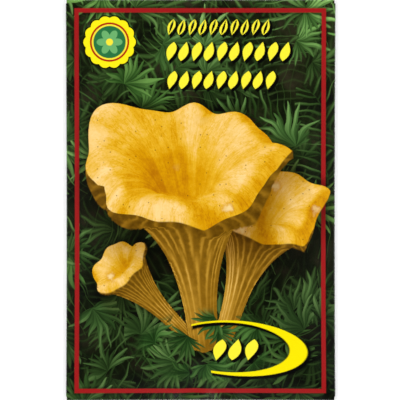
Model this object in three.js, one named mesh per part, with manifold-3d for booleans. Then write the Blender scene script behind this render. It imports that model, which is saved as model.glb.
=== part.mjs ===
// A flat paper packet of mushroom spawn, lying on its back.
//
// One sheet of paper is folded round the contents: a side lap, the printed front, the back, and a
// flap at the bottom and at the top of the front. The back is glued to the side lap, and each flap
// is folded round the end and glued to the back. Inside lie grains of spawn, held together by a
// thin felt of mycelium.
//
// Millimetres. +Z is up, out of the printed front, and +Y runs to the packet's top. The origin is
// on the surface that the packet lies on, under its middle.

import * as THREE from "three";
import { mergeVertices } from "three/addons/utils/BufferGeometryUtils.js";
import Module from "manifold-3d";

// ---------------------------------------------------------------- driving dimensions

const PACKET_WIDTH = 100;
const PACKET_HEIGHT = 149;
const PAPER = 0.2; // thickness of the sheet
const GLUE_GAP = 0.1; // between two layers of the sheet that are glued
const BULGE = 4.6; // how far the grains raise the middle of the front
const BULGE_Y = -13; // the grains have settled below the middle

const SIDE_LAP = 10; // width of the lap that the back is glued to
const BACK_SHORT = 1.5; // the back's free edge stops this far from the left fold
const END_CUT = 1; // the back and the lap stop this far from the end folds
const FLAP = 14; // length of the top and bottom flaps
const FLAP_TAPER = 5; // how much each side of a flap slants in from its fold to its free edge

const GRAINS = 240; // about 10 g of grain
const GRAIN_LENGTH = 6.8;
const GRAIN_WIDTH = 3.3;
const GRAIN_DEPTH = 3;
const GRAIN_PITCH = 4.35; // spacing of the grains' lattice
const GRAIN_JITTER = 0.55;
const FELT = 0.8; // thickness of the mycelium felt under the grains
const GRAIN_SINK = 0.35; // how deep the grains sit in the felt
const SPAWN_CLEARANCE = 0.15; // air between the spawn and the paper

// ---------------------------------------------------------------- levels of the sheet's middle

const LAYER = PAPER + GLUE_GAP;
const FLAP_LEVEL = PAPER / 2;
const BACK_LEVEL = FLAP_LEVEL + LAYER;
const LAP_LEVEL = BACK_LEVEL + LAYER;
const FRONT_LEVEL = LAP_LEVEL + LAYER; // the front, along its four edges

const HALF_WIDTH = PACKET_WIDTH / 2 - PAPER / 2; // to the middle of the sheet
const HALF_HEIGHT = PACKET_HEIGHT / 2 - PAPER / 2;
const LEFT_FOLD = (FRONT_LEVEL - LAP_LEVEL) / 2; // fold radii
const RIGHT_FOLD = (FRONT_LEVEL - BACK_LEVEL) / 2;
const END_FOLD = (FRONT_LEVEL - FLAP_LEVEL) / 2;
const LEFT_X = -HALF_WIDTH + LEFT_FOLD; // where the folds begin
const RIGHT_X = HALF_WIDTH - RIGHT_FOLD;
const END_Y = HALF_HEIGHT - END_FOLD;

const lerp = THREE.MathUtils.lerp;

/** count + 1 values from 0 to 1, both ends included. */
const spaced = (count) => Array.from({ length: count + 1 }, (_, k) => k / count);

/** Height of the front's middle surface: two flattened arches multiplied, highest at BULGE_Y. */
function frontHeight(x, y) {
  const across = (2 * x - LEFT_X - RIGHT_X) / (RIGHT_X - LEFT_X);
  const reach = y > BULGE_Y ? END_Y - BULGE_Y : END_Y + BULGE_Y;
  const along = (y - BULGE_Y) / reach;
  const arch = (1 - Math.abs(across) ** 2.6) * (1 - Math.abs(along) ** 2.8);
  return FRONT_LEVEL + BULGE * Math.max(arch, 0);
}

// ---------------------------------------------------------------- the folded sheet

// Stations round the packet: the side lap, the left fold, the front, the right fold and the back.
// A station on a fold says which way the sheet heads there, so that its faces stay a true arc.
const LAP_CELLS = 2;
const FOLD_CELLS = 4;
const FRONT_CELLS = 18;
const BACK_CELLS = 4;

function stationsRound() {
  const flat = (from, to, level) => (k) => ({ x: lerp(from, to, k), height: () => level });
  const fold = (x, radius, from) => (k) => {
    const angle = from - Math.PI * k;
    const level = FRONT_LEVEL - radius + radius * Math.sin(angle);
    const heading = new THREE.Vector3(Math.sin(angle), 0, -Math.cos(angle));
    return { x: x + radius * Math.cos(angle), height: () => level, heading };
  };
  const front = (k) => {
    const x = lerp(LEFT_X, RIGHT_X, k);
    return { x, height: (y) => frontHeight(x, y), inFront: true };
  };
  const lap = flat(-PACKET_WIDTH / 2 + SIDE_LAP, LEFT_X, LAP_LEVEL);
  const leftFold = fold(LEFT_X, LEFT_FOLD, -Math.PI / 2);
  const rightFold = fold(RIGHT_X, RIGHT_FOLD, Math.PI / 2);
  const back = flat(RIGHT_X, -PACKET_WIDTH / 2 + BACK_SHORT, BACK_LEVEL);
  return [
    ...spaced(LAP_CELLS).slice(0, -1).map(lap),
    ...spaced(FOLD_CELLS).slice(0, -1).map(leftFold),
    ...spaced(FRONT_CELLS).map(front),
    ...spaced(FOLD_CELLS).slice(1).map(rightFold),
    ...spaced(BACK_CELLS).slice(1).map(back),
  ];
}

// Stations along the packet: the bottom flap, its fold, the panels, the top fold and its flap.
const FLAP_CELLS = 1;
const END_FOLD_CELLS = 4;
const PANEL_CELLS = 22;

function stationsAlong() {
  const panelEnd = END_Y - END_CUT;
  const panel = (k) => ({ y: lerp(-panelEnd, panelEnd, k), inPanels: true });
  const fold = (side) => (k) => {
    const [sine, cosine] = [Math.sin(Math.PI * k), Math.cos(Math.PI * k)];
    return {
      y: side * (END_Y + END_FOLD * sine),
      level: FRONT_LEVEL - END_FOLD + END_FOLD * cosine,
      narrowing: 0,
      heading: new THREE.Vector3(0, cosine, -side * sine),
    };
  };
  const flap = (side) => (k) => {
    const y = side * (END_Y - k * (FLAP - END_FOLD));
    return { y, level: FLAP_LEVEL, narrowing: k * FLAP_TAPER };
  };
  const end = (side) => [
    { y: side * END_Y },
    ...spaced(END_FOLD_CELLS).slice(1).map(fold(side)),
    ...spaced(FLAP_CELLS).slice(1).map(flap(side)),
  ];
  return [...end(-1).reverse(), ...spaced(PANEL_CELLS).map(panel), ...end(1)];
}

/** The point of the sheet's middle at one station round and one station along. */
function sheetPoint(round, along) {
  if (along.level === undefined) return new THREE.Vector3(round.x, along.y, round.height(along.y));
  const width = 1 - along.narrowing / RIGHT_X;
  return new THREE.Vector3(round.x * width, along.y, along.level);
}

/** Whether the sheet has paper between stations i and i + 1 round, and j and j + 1 along. */
function hasPaper(round, along, i, j) {
  if (!round[i] || !round[i + 1] || !along[j] || !along[j + 1]) return false;
  const inFront = round[i].inFront && round[i + 1].inFront;
  const inPanels = along[j].inPanels && along[j + 1].inPanels;
  return Boolean(inFront || inPanels);
}

/** A closed solid of the sheet: its outer and inner faces, and a wall along every cut edge. */
function foldedSheet() {
  const round = stationsRound();
  const along = stationsAlong();
  const points = round.map((r) => along.map((a) => sheetPoint(r, a)));
  const paper = (i, j) => hasPaper(round, along, i, j);

  // The mean direction of the grid lines through a station, along one way of the grid.
  const direction = (before, here, after) => {
    const sum = new THREE.Vector3();
    if (before) sum.add(here.clone().sub(before).normalize());
    if (after) sum.add(after.clone().sub(here).normalize());
    return sum;
  };
  const used = (i, j) => paper(i, j) || paper(i - 1, j) || paper(i, j - 1) || paper(i - 1, j - 1);
  const neighbour = (i, j, di, dj) => {
    const [low, high] = [Math.min(di, 0), Math.min(dj, 0)];
    const joined = di
      ? paper(i + low, j) || paper(i + low, j - 1)
      : paper(i, j + high) || paper(i - 1, j + high);
    return joined ? points[i + di][j + dj] : undefined;
  };

  const vertices = [];
  const index = new Map(); // "i,j" to the number of the outer vertex; the inner one follows it
  round.forEach((r, i) =>
    along.forEach((a, j) => {
      if (!used(i, j)) return;
      const here = points[i][j];
      const across = r.heading ?? direction(neighbour(i, j, -1, 0), here, neighbour(i, j, 1, 0));
      const up = a.heading ?? direction(neighbour(i, j, 0, -1), here, neighbour(i, j, 0, 1));
      const half = across.clone().cross(up).normalize().multiplyScalar(PAPER / 2);
      index.set(`${i},${j}`, vertices.length / 3);
      vertices.push(...here.clone().add(half), ...here.clone().sub(half));
    }),
  );

  const faces = [];
  const quad = (a, b, c, d) => faces.push(a, b, c, a, c, d);
  round.forEach((_, i) =>
    along.forEach((_, j) => {
      if (!paper(i, j)) return;
      const corner = (di, dj) => index.get(`${i + di},${j + dj}`);
      const [p, q, r, s] = [corner(0, 0), corner(1, 0), corner(1, 1), corner(0, 1)];
      quad(p, q, r, s);
      quad(s + 1, r + 1, q + 1, p + 1);
      if (!paper(i, j - 1)) quad(q, p, p + 1, q + 1);
      if (!paper(i + 1, j)) quad(r, q, q + 1, r + 1);
      if (!paper(i, j + 1)) quad(s, r, r + 1, s + 1);
      if (!paper(i - 1, j)) quad(p, s, s + 1, p + 1);
    }),
  );
  return new THREE.BufferGeometry()
    .setAttribute("position", new THREE.Float32BufferAttribute(vertices, 3))
    .setIndex(faces);
}

// ---------------------------------------------------------------- glue

const GLUE = GLUE_GAP - 0.02; // a strip fills its gap but for a hair on each side

/** A flat strip of dried glue, between its corners in plan, in the gap above the given level. */
function glueStrip(x0, x1, y0, y1, levelBelow) {
  const strip = new THREE.BoxGeometry(x1 - x0, y1 - y0, GLUE);
  const gapMiddle = levelBelow + LAYER / 2;
  return strip.translate((x0 + x1) / 2, (y0 + y1) / 2, gapMiddle);
}

const SEAM_GLUE_MARGIN = 1.5; // the glue stops this far inside the edges of the layers it joins
const SEAM_GLUE_X0 = -PACKET_WIDTH / 2 + BACK_SHORT + SEAM_GLUE_MARGIN;
const SEAM_GLUE_X1 = -PACKET_WIDTH / 2 + SIDE_LAP - SEAM_GLUE_MARGIN;
const SEAM_GLUE_Y = END_Y - END_CUT - 4;
const FLAP_GLUE_X = RIGHT_X - FLAP_TAPER - SEAM_GLUE_MARGIN;
const FLAP_GLUE_Y0 = END_Y - FLAP + END_FOLD + SEAM_GLUE_MARGIN;
const FLAP_GLUE_Y1 = END_Y - END_CUT - SEAM_GLUE_MARGIN;

// ---------------------------------------------------------------- the spawn

const FELT_BASE = BACK_LEVEL + PAPER / 2 + GLUE_GAP; // the felt's underside, just off the back
const FELT_HALF_WIDTH = 33;
const FELT_HALF_HEIGHT = 52;
const FELT_Y = BULGE_Y;

/** Numbers from 0 to 1, the same ones each time. */
function seededRandom(seed) {
  let state = seed;
  return () => {
    state = (Math.imul(state, 1664525) + 1013904223) >>> 0;
    return state / 2 ** 32;
  };
}

/** Where the grains lie: a jittered triangular lattice, nearest the middle of the felt first. */
function grainPlaces() {
  const random = seededRandom(29);
  const places = [];
  const rowPitch = (GRAIN_PITCH * Math.sqrt(3)) / 2;
  const rows = Math.ceil(FELT_HALF_HEIGHT / rowPitch);
  const columns = Math.ceil(FELT_HALF_WIDTH / GRAIN_PITCH);
  for (let row = -rows; row <= rows; row++) {
    for (let column = -columns; column <= columns; column++) {
      const shift = row % 2 ? 0.5 : 0;
      const x = (column + shift) * GRAIN_PITCH + (random() - 0.5) * 2 * GRAIN_JITTER;
      const y = FELT_Y + row * rowPitch + (random() - 0.5) * 2 * GRAIN_JITTER;
      const turn = random() * Math.PI;
      const size = 0.88 + 0.24 * random();
      const tilt = (random() - 0.5) * 0.3;
      const offCentre = Math.hypot(x / FELT_HALF_WIDTH, (y - FELT_Y) / FELT_HALF_HEIGHT);
      places.push({ x, y, turn, size, tilt, offCentre });
    }
  }
  const margin = GRAIN_LENGTH / 2 / FELT_HALF_WIDTH;
  return places
    .filter((place) => place.offCentre < 1 - margin)
    .sort((a, b) => a.offCentre - b.offCentre)
    .slice(0, GRAINS);
}

/** A grain: a small faceted ball drawn out along its own length, turned and tilted in its place. */
function grainGeometry({ x, y, turn, size, tilt }) {
  const centre = FELT_BASE + FELT - GRAIN_SINK + (GRAIN_DEPTH * size) / 2;
  return new THREE.OctahedronGeometry(0.5, 0)
    .scale(GRAIN_LENGTH * size, GRAIN_WIDTH * size, GRAIN_DEPTH * size)
    .rotateY(tilt)
    .rotateZ(turn)
    .translate(x, y, centre);
}

/** The felt: a thin oval pad. */
function feltGeometry() {
  const outline = new THREE.Shape();
  outline.absellipse(0, FELT_Y, FELT_HALF_WIDTH, FELT_HALF_HEIGHT, 0, 2 * Math.PI);
  const settings = { depth: FELT, bevelEnabled: false, curveSegments: 36 };
  return new THREE.ExtrudeGeometry(outline, settings).translate(0, 0, FELT_BASE);
}

const wasm = await Module();
wasm.setup();

/** A three.js geometry as a solid that can be joined to others. */
function solid(geometry) {
  const bare = new THREE.BufferGeometry();
  bare.setAttribute("position", geometry.getAttribute("position"));
  if (geometry.index) bare.setIndex(geometry.index);
  const merged = mergeVertices(bare, 1e-4);
  return new wasm.Manifold(
    new wasm.Mesh({
      numProp: 3,
      vertProperties: merged.attributes.position.array,
      triVerts: new Uint32Array(merged.index.array),
    }),
  );
}

/** A solid as a three.js geometry. */
function geometryOf(made) {
  const mesh = made.getMesh();
  return new THREE.BufferGeometry()
    .setAttribute("position", new THREE.BufferAttribute(mesh.vertProperties, 3))
    .setIndex(new THREE.BufferAttribute(mesh.triVerts, 1));
}

/** The underside of the front at a place. */
const ceiling = (x, y) => frontHeight(x, y) - PAPER / 2 - SPAWN_CLEARANCE;

/** Whether a grain fits under the front all along its length. */
function fits(place) {
  const top = FELT_BASE + FELT - GRAIN_SINK + GRAIN_DEPTH * place.size;
  const reach = (GRAIN_LENGTH * place.size) / 2;
  return [-1, 0, 1].every((end) => {
    const x = place.x + end * reach * Math.cos(place.turn);
    const y = place.y + end * reach * Math.sin(place.turn);
    return top + Math.abs(end) * reach * Math.abs(Math.sin(place.tilt)) < ceiling(x, y);
  });
}

function spawnGeometry() {
  const grains = grainPlaces().filter(fits);
  const joined = grains.reduce(
    (made, place) => made.add(solid(grainGeometry(place))),
    solid(feltGeometry()),
  );
  return geometryOf(joined);
}

// ---------------------------------------------------------------- materials and assembly

const material = (color, roughness) =>
  new THREE.MeshStandardMaterial({ color, roughness, metalness: 0 });
const PRINTED_PAPER = material("#33502a", 0.45);
const DRIED_GLUE = material("#e6dfc4", 0.4);
const SPAWN = material("#c9ad7c", 0.9);

const packet = new THREE.Group();

function addPiece(name, geometry, finish) {
  const piece = new THREE.Mesh(geometry, finish);
  piece.name = name;
  packet.add(piece);
}

addPiece("folded_packet", foldedSheet(), PRINTED_PAPER);
addPiece(
  "side_seam_glue",
  glueStrip(SEAM_GLUE_X0, SEAM_GLUE_X1, -SEAM_GLUE_Y, SEAM_GLUE_Y, BACK_LEVEL),
  DRIED_GLUE,
);
addPiece(
  "bottom_flap_glue",
  glueStrip(-FLAP_GLUE_X, FLAP_GLUE_X, -FLAP_GLUE_Y1, -FLAP_GLUE_Y0, FLAP_LEVEL),
  DRIED_GLUE,
);
addPiece(
  "top_flap_glue",
  glueStrip(-FLAP_GLUE_X, FLAP_GLUE_X, FLAP_GLUE_Y0, FLAP_GLUE_Y1, FLAP_LEVEL),
  DRIED_GLUE,
);
addPiece("spawn", spawnGeometry(), SPAWN);

export default packet;
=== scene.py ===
"""A flat paper packet of mushroom spawn, lying on its back on a white table.

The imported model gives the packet's box. This script makes the folded sheet again as a thin, fine
surface, with the front laid over the grains inside it, prints it with node materials, and adds the
grains, the dried glue, the table, the light and the camera.

Lengths in the shape functions are millimetres; every mesh is written in metres.
"""

import math

import bpy
import numpy as np
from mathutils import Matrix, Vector


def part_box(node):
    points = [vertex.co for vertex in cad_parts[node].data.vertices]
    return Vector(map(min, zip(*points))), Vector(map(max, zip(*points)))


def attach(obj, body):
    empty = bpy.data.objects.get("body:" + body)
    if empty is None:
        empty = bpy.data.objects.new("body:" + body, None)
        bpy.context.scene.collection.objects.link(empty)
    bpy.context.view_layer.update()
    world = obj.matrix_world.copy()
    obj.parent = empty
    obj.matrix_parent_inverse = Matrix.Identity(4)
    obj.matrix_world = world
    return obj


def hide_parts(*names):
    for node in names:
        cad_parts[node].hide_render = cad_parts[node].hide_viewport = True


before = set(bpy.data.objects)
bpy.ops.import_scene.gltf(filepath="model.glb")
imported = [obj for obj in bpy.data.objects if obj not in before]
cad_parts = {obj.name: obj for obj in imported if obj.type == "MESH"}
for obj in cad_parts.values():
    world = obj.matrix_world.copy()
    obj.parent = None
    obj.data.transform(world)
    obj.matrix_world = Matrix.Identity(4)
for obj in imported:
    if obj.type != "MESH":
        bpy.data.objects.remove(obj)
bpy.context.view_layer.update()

MM = 0.001

# ------------------------------------------------------------------ the folded sheet's sizes

packet_low, packet_high = (np.array(corner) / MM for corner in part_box("folded_packet"))
HALF_PACKET_WIDTH = (packet_high[0] - packet_low[0]) / 2
HALF_PACKET_HEIGHT = (packet_high[1] - packet_low[1]) / 2

PAPER = 0.2  # thickness of the sheet
LAYER = 0.3  # from one layer of the sheet to the next
FLAP_LEVEL = PAPER / 2
BACK_LEVEL = FLAP_LEVEL + LAYER
LAP_LEVEL = BACK_LEVEL + LAYER
FRONT_LEVEL = LAP_LEVEL + LAYER

LEFT_FOLD = (FRONT_LEVEL - LAP_LEVEL) / 2  # fold radii
RIGHT_FOLD = (FRONT_LEVEL - BACK_LEVEL) / 2
END_FOLD = (FRONT_LEVEL - FLAP_LEVEL) / 2
LEFT_X = -(HALF_PACKET_WIDTH - PAPER / 2) + LEFT_FOLD  # where the folds begin
RIGHT_X = HALF_PACKET_WIDTH - PAPER / 2 - RIGHT_FOLD
END_Y = HALF_PACKET_HEIGHT - PAPER / 2 - END_FOLD

SIDE_LAP = 10
BACK_SHORT = 1.5  # the back's free edge stops this far from the left fold
END_CUT = 1  # the back and the lap stop this far from the end folds
FLAP = 14
FLAP_TAPER = 5

BULGE_Y = -13  # the grains have settled below the middle
BULGE = 4.5  # how far the front stands up there

# ------------------------------------------------------------------ mesh helpers


def smooth_step(low, high, value):
    """0 below low, 1 above high, and an S-curve between them."""
    k = np.clip((value - low) / (high - low), 0, 1)
    return k * k * (3 - 2 * k)


def add_object(name, data):
    """An object of this data, put into the scene."""
    piece = bpy.data.objects.new(name, data)
    bpy.context.collection.objects.link(piece)
    return piece


def build_mesh(name, points, faces, sharp_angle=None):
    """A smooth mesh of points in millimetres and faces; edges sharper than the angle stay sharp."""
    mesh = bpy.data.meshes.new(name)
    mesh.from_pydata((points * MM).tolist(), [], faces)
    mesh.shade_smooth()
    if sharp_angle:
        mesh.set_sharp_from_angle(angle=sharp_angle)
    return add_object(name, mesh)


def grid_quads(count_a, count_b):
    """Corner numbers of a grid's cells, counted with b running fastest."""
    number = np.arange(count_a * count_b).reshape(count_a, count_b)
    corners = (number[:-1, :-1], number[1:, :-1], number[1:, 1:], number[:-1, 1:])
    return np.stack([corner.ravel() for corner in corners], axis=1)


def ring_faces(ring_count, side_count):
    """Quads between rings of points, and triangles from the end rings to two tips numbered last."""
    number = np.arange(ring_count * side_count).reshape(ring_count, side_count)
    beside = np.roll(number, -1, axis=1)
    quads = np.stack([number[:-1], number[1:], beside[1:], beside[:-1]], axis=-1).reshape(-1, 4)
    tip = np.full(side_count, number.size)
    start = np.stack([tip, number[0], beside[0]], axis=1)
    end = np.stack([number[-1], tip + 1, beside[-1]], axis=1)
    return quads, np.concatenate([start, end])


def face_list(parts, first=0):
    """Arrays of faces as one list, with their corners counted on from the first point's number."""
    return [face for part in parts for face in (part + first).tolist()]


def resample(grid, along_a, along_b):
    """A grid's values at fractions 0 to 1 of its two ways, by Catmull-Rom curves through them."""

    def one_way(values, fractions):
        """The values at fractions of the first way only."""
        last = len(values) - 1
        place = np.clip(fractions, 0, 1) * last
        k = np.minimum(place.astype(int), last - 1)
        f = (place - k).reshape(-1, *([1] * (values.ndim - 1)))
        before = np.concatenate([2 * values[:1] - values[1:2], values])[k]
        after = np.concatenate([values, 2 * values[-1:] - values[-2:-1]])[k + 2]
        here, there = values[k], values[k + 1]
        bend = 3 * (here - there) + after - before
        turn = 2 * before - 5 * here + 4 * there - after
        return here + 0.5 * f * (there - before + f * (turn + f * bend))

    return one_way(one_way(grid, along_a).swapaxes(0, 1), along_b).swapaxes(0, 1)


# ------------------------------------------------------------------ the grains

GRAIN_SEED = 29
GRAIN_COUNT = 262
GRAIN_ROWS = 14  # of the lattice, each way from its middle: more than the pile needs
GRAIN_COLUMNS = 9
GRAIN_HALF_LENGTH = 3.4
GRAIN_HALF_WIDTH = 1.65
GRAIN_HALF_DEPTH = 1.5
GRAIN_PITCH = 4.35
GRAIN_JITTER = 0.55
PILE_HALF_WIDTH = 30
PILE_HALF_HEIGHT = 47
PILE_RISE = 0.85  # how much higher the grains lie in the middle of the pile
PILE_SCATTER = 0.4
FELT_BASE = BACK_LEVEL + PAPER / 2 + 0.1
FELT_THICKNESS = 0.8
GRAIN_SINK = 0.35  # how deep the grains sit in the felt of threads
GRAIN_FLOOR = FELT_BASE + FELT_THICKNESS - GRAIN_SINK


def scatter_grains():
    """Each grain's x, y, turn, size and lift: a jittered triangular lattice, the middle first."""
    random = np.random.default_rng(GRAIN_SEED)
    row_pitch = GRAIN_PITCH * math.sqrt(3) / 2
    row, column = np.mgrid[-GRAIN_ROWS : GRAIN_ROWS + 1, -GRAIN_COLUMNS : GRAIN_COLUMNS + 1]
    shape = row.shape
    x = (column + 0.5 * (row % 2)) * GRAIN_PITCH + random.uniform(-1, 1, shape) * GRAIN_JITTER
    y = row * row_pitch + random.uniform(-1, 1, shape) * GRAIN_JITTER
    turn = random.uniform(0, math.pi, shape)
    size = random.uniform(0.88, 1.12, shape)
    off_centre = np.hypot(x / PILE_HALF_WIDTH, y / PILE_HALF_HEIGHT)
    lift = PILE_RISE * (1 - off_centre**2) + random.uniform(0, PILE_SCATTER, shape)
    grains = np.stack([x, y + BULGE_Y, turn, size, np.maximum(lift, 0)], axis=-1).reshape(-1, 5)
    order = np.argsort(off_centre.ravel())
    return grains[order][:GRAIN_COUNT]


def pile_top(x, y, grains):
    """Height of the highest grain over each place, each grain an ellipsoid; 0 where there is none."""
    top = np.zeros_like(x)
    for grain_x, grain_y, turn, size, lift in grains:
        cosine, sine = math.cos(turn), math.sin(turn)
        off_x, off_y = x - grain_x, y - grain_y
        along = (off_x * cosine + off_y * sine) / (GRAIN_HALF_LENGTH * size)
        across = (off_y * cosine - off_x * sine) / (GRAIN_HALF_WIDTH * size)
        room = 1 - along**2 - across**2
        crown = GRAIN_HALF_DEPTH * size * (1 + np.sqrt(np.maximum(room, 0)))
        top = np.maximum(top, np.where(room > 0, GRAIN_FLOOR + lift + crown, 0))
    return top


# ------------------------------------------------------------------ the front, laid over the grains

# Cells across, cells up, steps, and how deep the random dents are at the start.
RELAX_LEVELS = ((20, 30, 300, 0.15), (40, 60, 400, 0.02), (80, 119, 450, 0.02))
DENT_SEED = 3
SPEED_KEPT = 0.9  # from one step to the next
PILLOW_POWERS = (2.6, 2.8)  # across and up: higher ones are flatter in the middle
PAPER_STIFFNESS = 0.0009
DRAW_IN = 0.32  # the most that an edge is drawn in by the bulge
CLEARANCE = PAPER / 2 + 0.05  # from a grain to the sheet's middle


def pillow_height(x, y):
    """Height of the front before it settles: two flattened arches multiplied."""
    across = (2 * x - LEFT_X - RIGHT_X) / (RIGHT_X - LEFT_X)
    up = (y - BULGE_Y) / np.where(y > BULGE_Y, END_Y - BULGE_Y, END_Y + BULGE_Y)
    arch = (1 - np.abs(across) ** PILLOW_POWERS[0]) * (1 - np.abs(up) ** PILLOW_POWERS[1])
    return FRONT_LEVEL + BULGE * np.maximum(arch, 0)


def spring_batches(count_a, count_b):
    """Pairs of neighbours in a grid, along it and across its cells, in batches with no point twice."""
    number = np.arange(count_a * count_b).reshape(count_a, count_b)
    lines = (
        (number[:-1], number[1:], 0),
        (number[:, :-1], number[:, 1:], 1),
        (number[:-1, :-1], number[1:, 1:], 0),
        (number[:-1, 1:], number[1:, :-1], 0),
    )
    batches = []
    for start, end, way in lines:
        for half in (0, 1):
            part = (slice(half, None, 2),) if way == 0 else (slice(None), slice(half, None, 2))
            batches.append((start[part].ravel(), end[part].ravel()))
    return batches


def bend_of(height):
    """The Laplacian of the Laplacian of a height, which is what stiff paper irons out."""

    def laplacian(values):
        middle = values[1:-1, 1:-1]
        return values[2:, 1:-1] + values[:-2, 1:-1] + values[1:-1, 2:] + values[1:-1, :-2] - 4 * middle

    return laplacian(laplacian(np.pad(height, 2, mode="reflect", reflect_type="odd")))


def settle(sheet, flat, floor, steps):
    """Moves a sheet's points until its springs have the lengths that they have when it lies flat.

    The edges stay at their height and may only be drawn in; no point goes below the floor.
    """
    points = sheet.reshape(-1, 3)
    flat_points = flat.reshape(-1, 3)
    batches = spring_batches(*sheet.shape[:2])
    lengths = [np.linalg.norm(flat_points[b] - flat_points[a], axis=1) for a, b in batches]
    speed = np.zeros_like(sheet)
    for _ in range(steps):
        before = sheet.copy()
        sheet += SPEED_KEPT * speed
        sheet[1:-1, 1:-1, 2] -= PAPER_STIFFNESS * bend_of(sheet[..., 2])[1:-1, 1:-1]
        for (start, end), length in zip(batches, lengths):
            apart = points[end] - points[start]
            now = np.linalg.norm(apart, axis=1)
            half = (0.5 * (now - length) / now)[:, None] * apart
            points[start] += half
            points[end] -= half
        sheet[..., 2] = np.maximum(sheet[..., 2], floor)
        for edge in (np.s_[0, :, 2], np.s_[-1, :, 2], np.s_[:, 0, 2], np.s_[:, -1, 2]):
            sheet[edge] = FRONT_LEVEL
        sheet[0, :, 0] = np.clip(sheet[0, :, 0], LEFT_X, LEFT_X + DRAW_IN)
        sheet[-1, :, 0] = np.clip(sheet[-1, :, 0], RIGHT_X - DRAW_IN, RIGHT_X)
        sheet[:, 0, 1] = np.clip(sheet[:, 0, 1], -END_Y, -END_Y + DRAW_IN)
        sheet[:, -1, 1] = np.clip(sheet[:, -1, 1], END_Y - DRAW_IN, END_Y)
        speed = sheet - before


def settled_front(grains):
    """The front's middle surface over the grains, worked out on a coarse grid and then finer ones.

    It starts as a pillow with small random dents, which grow into the creases of real paper.
    """
    random = np.random.default_rng(DENT_SEED)
    sheet = None
    for cells_a, cells_b, steps, dent in RELAX_LEVELS:
        x, y = np.meshgrid(
            np.linspace(LEFT_X, RIGHT_X, cells_a + 1),
            np.linspace(-END_Y, END_Y, cells_b + 1),
            indexing="ij",
        )
        flat = np.stack([x, y, np.zeros_like(x)], axis=-1)
        if sheet is None:
            sheet = np.stack([x, y, pillow_height(x, y)], axis=-1)
        else:
            fractions = (np.linspace(0, 1, cells_a + 1), np.linspace(0, 1, cells_b + 1))
            sheet = np.ascontiguousarray(resample(sheet, *fractions))
        sheet[1:-1, 1:-1, 2] += dent * random.standard_normal((cells_a - 1, cells_b - 1))
        settle(sheet, flat, pile_top(x, y, grains) + CLEARANCE, steps)
    return sheet


# ------------------------------------------------------------------ the folded sheet

FRONT_CELLS = 142
BACK_CELLS = 40
LAP_CELLS = 5
FOLD_CELLS = 8
PANEL_CELLS = 208
FLAP_CELLS = 7
FOLLOW = 9  # how far into the back and the flaps the drawn-in edges are felt
SHARP_ANGLE = math.radians(40)


def stations_round():
    """Stations round the packet: x, level, whether in the front, and the print's x, as arrays."""

    def arc(centre, radius, start):
        """A fold's x and level, round a half circle that ends at the front's level."""
        angle = start - np.linspace(0, math.pi, FOLD_CELLS + 1)
        return centre + radius * np.cos(angle), FRONT_LEVEL - radius + radius * np.sin(angle)

    lap_x = np.linspace(-HALF_PACKET_WIDTH + SIDE_LAP, LEFT_X, LAP_CELLS + 1)[:-1]
    left_x, left_level = arc(LEFT_X, LEFT_FOLD, -math.pi / 2)
    front_x = np.linspace(LEFT_X, RIGHT_X, FRONT_CELLS + 1)[1:-1]
    right_x, right_level = arc(RIGHT_X, RIGHT_FOLD, math.pi / 2)
    back_x = np.linspace(RIGHT_X, -HALF_PACKET_WIDTH + BACK_SHORT, BACK_CELLS + 1)[1:]
    x = np.concatenate([lap_x, left_x, front_x, right_x, back_x])
    levels = (
        np.full(len(lap_x), LAP_LEVEL),
        left_level,
        np.full(len(front_x), FRONT_LEVEL),
        right_level,
        np.full(len(back_x), BACK_LEVEL),
    )
    level = np.concatenate(levels)
    first_front = len(lap_x) + FOLD_CELLS
    in_front = np.zeros(len(x), bool)
    in_front[first_front : first_front + FRONT_CELLS + 1] = True
    steps = np.hypot(np.diff(x), np.diff(level))
    print_x = np.concatenate([[0], np.cumsum(steps)])
    print_x += LEFT_X - print_x[first_front]
    return x, level, in_front, print_x


def stations_along():
    """Stations up the packet: y, level (0 in the panels), flap narrowing, in panels, print's y."""
    sweep = np.linspace(0, math.pi, FOLD_CELLS + 1)[1:]
    fold_y = END_Y + END_FOLD * np.sin(sweep)
    fold_level = FRONT_LEVEL - END_FOLD + END_FOLD * np.cos(sweep)
    down = np.linspace(0, 1, FLAP_CELLS + 1)[1:]
    flap_y = END_Y - down * (FLAP - END_FOLD)
    panel_end = END_Y - END_CUT
    panel_y = np.linspace(-panel_end, panel_end, PANEL_CELLS + 1)
    end_y = np.concatenate([[END_Y], fold_y, flap_y])
    end_level = np.concatenate([[0], fold_level, np.full(FLAP_CELLS, FLAP_LEVEL)])
    end_narrowing = np.concatenate([np.zeros(FOLD_CELLS + 1), down * FLAP_TAPER])
    y = np.concatenate([-end_y[::-1], panel_y, end_y])
    level = np.concatenate([end_level[::-1], np.zeros_like(panel_y), end_level])
    narrowing = np.concatenate([end_narrowing[::-1], np.zeros_like(panel_y), end_narrowing])
    in_panels = np.zeros(len(y), bool)
    in_panels[len(end_y) : len(end_y) + len(panel_y)] = True
    run = np.cumsum(np.hypot(np.diff(end_y), np.diff(np.where(end_level, end_level, FRONT_LEVEL))))
    end_print = END_Y + np.concatenate([[0], run])
    print_y = np.concatenate([-end_print[::-1], panel_y, end_print])
    return y, level, narrowing, in_panels, print_y


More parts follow.
